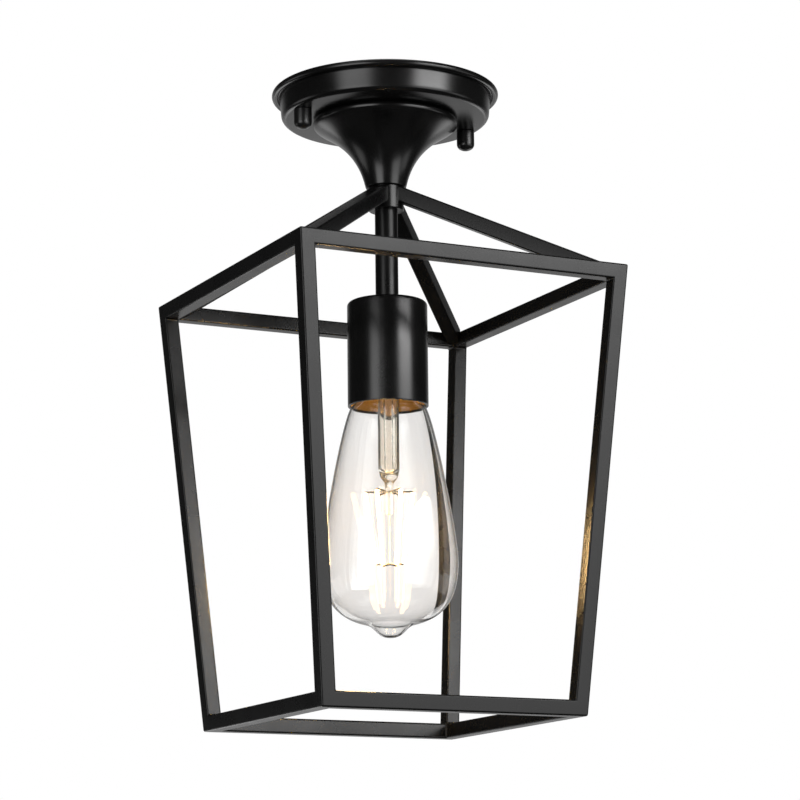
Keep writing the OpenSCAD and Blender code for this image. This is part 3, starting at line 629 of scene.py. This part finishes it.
# The spray reaches only the outside and turns in over the mouth. The wall inside is painted
# amber, a painted glow that stands for the lamp's warm light on it, and the lamp lights it too.
painted_glow_top, painted_glow_foot, painted_glow_r = -116.5, -168.2, 20.1
point = add_node(sleeve_nodes, "ShaderNodeTexCoord")
height = add_node(sleeve_nodes, "ShaderNodeSeparateXYZ", Vector=point.outputs["Object"])
level_part = add_node(sleeve_nodes, "ShaderNodeVectorMath", {"operation": "MULTIPLY"},
                      i0=point.outputs["Object"], i1=(1, 1, 0))
reach = add_node(sleeve_nodes, "ShaderNodeVectorMath", {"operation": "LENGTH"}, i0=level_part.outputs[0])
under_top = add_node(sleeve_nodes, "ShaderNodeMath", {"operation": "LESS_THAN"},
                     i0=height.outputs["Z"], i1=painted_glow_top * MM)
over_mouth = add_node(sleeve_nodes, "ShaderNodeMath", {"operation": "GREATER_THAN"},
                      i0=height.outputs["Z"], i1=painted_glow_foot * MM)
within = add_node(sleeve_nodes, "ShaderNodeMath", {"operation": "LESS_THAN"},
                  i0=reach.outputs["Value"], i1=painted_glow_r * MM)
under_and_within = add_node(sleeve_nodes, "ShaderNodeMath", {"operation": "MULTIPLY"},
                            i0=under_top.outputs[0], i1=within.outputs[0])
painted_glow_part = add_node(sleeve_nodes, "ShaderNodeMath", {"operation": "MULTIPLY"},
                     i0=under_and_within.outputs[0], i1=over_mouth.outputs[0])
# Painted glow: this amber stands for the lamp's warm light on the inner wall
painted_glow = add_node(sleeve_nodes, "ShaderNodeBsdfPrincipled", Base_Color=linear("#A87E2E"),
                Metallic=0.2, Roughness=0.45)
both = add_node(sleeve_nodes, "ShaderNodeMixShader", i0=painted_glow_part.outputs[0], i1=sprayed,
                i2=painted_glow.outputs[0])
add_node(sleeve_nodes, "ShaderNodeOutputMaterial", Surface=both.outputs[0])
finish(sleeve, sleeve_coat, "black_enamel", "lantern", "socket_sleeve")

# ---- Lampholder ----
# A zinc-plated strap and two screws carry a body of white porcelain. In it are a brass screw
# shell, a sprung brass tongue on a rivet, and two brass terminal screws.
coat_nodes(zinc, "holder_bracket", "bracket_screws")
coat_nodes(yellow_brass, "terminal_screws", "holder_shell", "contact_tongue", "contact_rivet")
# Glazed porcelain is a warm white with clear, sharp mirrors.
porcelain = plain("glazed_white_porcelain", ("#E9E4D8", "#F2EEE4"), 0.18)
coat_nodes(porcelain, "holder_body")

# ---- Lamp cap ----
# The lamp's screw cap and its foot contact are nickel-plated brass, with black glass cast
# between them, and a small driver board stands inside.

# Nickel plate is bright, and a little warmer than zinc.
nickel = metal("nickel_plated_brass", "#C8C1B0", 0.22)
coat_nodes(nickel, "lamp_cap", "lamp_foot_contact")
# The black glass is glossy, with a violet tinge.
insulator_glass = plain("black_insulator_glass", ("#0E0D12", "#16141C"), 0.12)
coat_nodes(insulator_glass, "cap_insulator")
# The board is paper in brown resin, and bare: dull and warm.
board = plain("bare_phenolic_board", ("#B5772E", "#C58A40"), 0.4)
coat_nodes(board, "led_driver")


# ---- Lamp glass ----
# A blown envelope of clear soda-lime glass: a shoulder under the sleeve, a straight taper, a
# round foot, and the sealed-off tip of its exhaust tube.
def clear_glass(name, tint, haze):
    """Clear glass that lets the studio's light through to what is inside it."""
    material, tree = blank_material(name)
    glass = add_node(tree, "ShaderNodeBsdfPrincipled", Base_Color=linear(tint), Roughness=0.0,
                     IOR=1.52, Transmission_Weight=1.0)
    open_way = add_node(tree, "ShaderNodeBsdfTransparent", Color=linear("#F6F8F8"))
    rays = add_node(tree, "ShaderNodeLightPath")
    looked_at = add_node(tree, "ShaderNodeMath", {"operation": "MAXIMUM"},
                         i0=rays.outputs["Is Camera Ray"], i1=rays.outputs["Is Transmission Ray"])
    # A trace of dust and haze on the glass catches the light of the filaments
    dust = add_node(tree, "ShaderNodeBsdfTranslucent", Color=linear("#FFFFFF"))
    veil = add_node(tree, "ShaderNodeMixShader", i0=haze, i1=glass.outputs[0], i2=dust.outputs[0])
    whole = add_node(tree, "ShaderNodeMixShader", i0=looked_at.outputs[0], i1=open_way.outputs[0],
                     i2=veil.outputs[0])
    add_node(tree, "ShaderNodeOutputMaterial", Surface=whole.outputs[0])
    return material


glass_t, glass_top = 0.9, -150
glass_neck, glass_mouth, glass_widest = (12.4, -159), (19.4, -170), (35.3, -250)
glass_foot, glass_end = (13, -283), (0, -290)
glass_curves = (
    ([glass_neck, (12.6, -164.5), (16.7, -165.6), glass_mouth], 12),
    ([glass_mouth, (24.4, -178), (35.3, -238.8), glass_widest], 32),
    ([glass_widest, (35.3, -266.5), (31, -278.8), glass_foot], 24),
    ([glass_foot, (7.4, -284.3), (7.6, -290), glass_end], 14),
)


def glass_side(sideways):
    """The four curves as one line, moved sideways for the inner side of the wall."""
    first, *others = [bent_line(curve, steps, sideways) for curve, steps in glass_curves]
    return first + [point for line in others for point in line[1:]]


glass_outline = [(glass_neck[0], glass_top)] + glass_side(0)
# The inner side leaves out its last two points, where the wall would fold over itself
glass_inside = glass_side(-glass_t)[:-2] + [(0, glass_end[1] + glass_t)]
glass_outline += glass_inside[::-1]
glass_outline += [(glass_neck[0] - glass_t, glass_top), (glass_neck[0], glass_top)]
envelope = turned("blown_glass_envelope", glass_outline, facets=144, smooth=60)
# Thin, clean glass: seen by its darker edges and by the soft boxes in it.
clear = clear_glass("clear_soda_lime_glass", "#FBFAF9", 0.003)
finish(envelope, clear, "clear_glass", "lamp", "lamp_glass")

# ---- Glass stem ----
# The stem is one glass tube: flared where it is sealed into the neck, flattened by the pinch
# that seals the leads, and drawn out below it into the rod that holds the hooks.
stem_t, stem_r, stem_rod_r = 1.0, 5.5, 1.8
flare_r, flare_top, flare_foot = 11.3, -151, -164
flare = [(flare_r, flare_top), (9.3, -157), (stem_r, -157), (stem_r, flare_foot)]
pinch = [(stem_r, -203), (5.4, -209), (2.4, -208), (2.2, -211.5)]
hollow_end = [(0, -205), (3, -205), (4.5, -203), (stem_r - stem_t, -199)]
stem_outline = [(flare_r - stem_t, glass_top), (flare_r, glass_top)]
stem_outline += bent_line(flare, 12) + bent_line(pinch, 10) + [(stem_rod_r, -214), (stem_rod_r, -225)]
stem_outline += arc(stem_rod_r / 2, -225.5, stem_rod_r / 2, 0, -90, 4) + [(0, -226.4)]
stem_outline += bent_line(hollow_end, 6) + bent_line(flare, 12, -stem_t)[::-1]
stem_outline += [(flare_r - stem_t, glass_top)]
stem = turned("glass_stem_drawn", stem_outline, facets=48, smooth=60)
pinch_top, pinch_middle, pinch_foot, pinch_flatness = -204, -208, -212.5, 0.55
bpy.ops.object.mode_set(mode="EDIT")
bpy.ops.mesh.select_all(action="DESELECT")
bpy.ops.object.mode_set(mode="OBJECT")
for vertex in stem.data.vertices:
    vertex.select = pinch_foot * MM < vertex.co.z < pinch_top * MM
bpy.ops.object.mode_set(mode="EDIT")
bpy.ops.transform.resize(value=(1, pinch_flatness, 1), center_override=(0, 0, pinch_middle * MM))
bpy.ops.object.mode_set(mode="OBJECT")
# The stem's lead glass is a little warmer, and hazy from the flame.
stem_glass = clear_glass("stem_lead_glass", "#FFFCF6", 0.05)
finish(stem, stem_glass, "clear_glass", "lamp", "glass_stem")

# ---- Filament frame ----
# Two nickel leads are sealed into the stem's pinch. Wire hooks on the glass rod and a spider
# on a drop wire below it hold the filaments.

# Drawn nickel wire is bright, with small sharp glints.
wire = metal("bright_nickel_wire", "#BDB7AC", 0.25)
coat_nodes(wire, "lead_in_wires", "filament_frame")

# ---- Filaments ----
# Six LED filaments, glass strips in yellow phosphor with a tinned tab at each end, are spot
# welded between the upper hooks and the lower spider.
hook_z, spider_z, hook_r, spider_r = -214.5, -252.1, 12.4, 6.9
strip_length, tab, strip_r, strip_edge_r, first_turn = 38, 0.5, 0.95, 0.35, -27
bpy.ops.object.select_all(action="DESELECT")
bpy.ops.mesh.primitive_cylinder_add(vertices=16, radius=strip_r * MM, depth=(strip_length - 2 * tab) * MM)
strip = bpy.context.object
strip.matrix_world = (
    Matrix.Rotation(radians(first_turn), 4, "Z")
    @ Matrix.Translation(((hook_r + spider_r) / 2 * MM, 0, (hook_z + spider_z) / 2 * MM))
    @ Matrix.Rotation(asin((hook_r - spider_r) / strip_length), 4, "Y")
)
bpy.ops.object.transform_apply(location=True, rotation=True, scale=True)
rounded(strip, strip_edge_r, 2)
strips = [strip]
for turn in (60, 120, 180, 240, 300):
    strips.append(copied(strip, "strip", Matrix.Rotation(radians(turn), 4, "Z")))
filaments = settle(joined(strips), "led_filament_strips", 50)
# Lit phosphor is a warm, yellowish white, far brighter than all round it.
lit, filament_nodes = blank_material("lit_yellow_phosphor")
phosphor = add_node(filament_nodes, "ShaderNodeBsdfPrincipled", Base_Color=linear("#FFD890"),
                    Roughness=0.5, Emission_Color=linear("#FFCE8B"), Emission_Strength=230.0)
add_node(filament_nodes, "ShaderNodeOutputMaterial", Surface=phosphor.outputs[0])
finish(filaments, lit, "filament_phosphor", "lamp", "led_filaments")
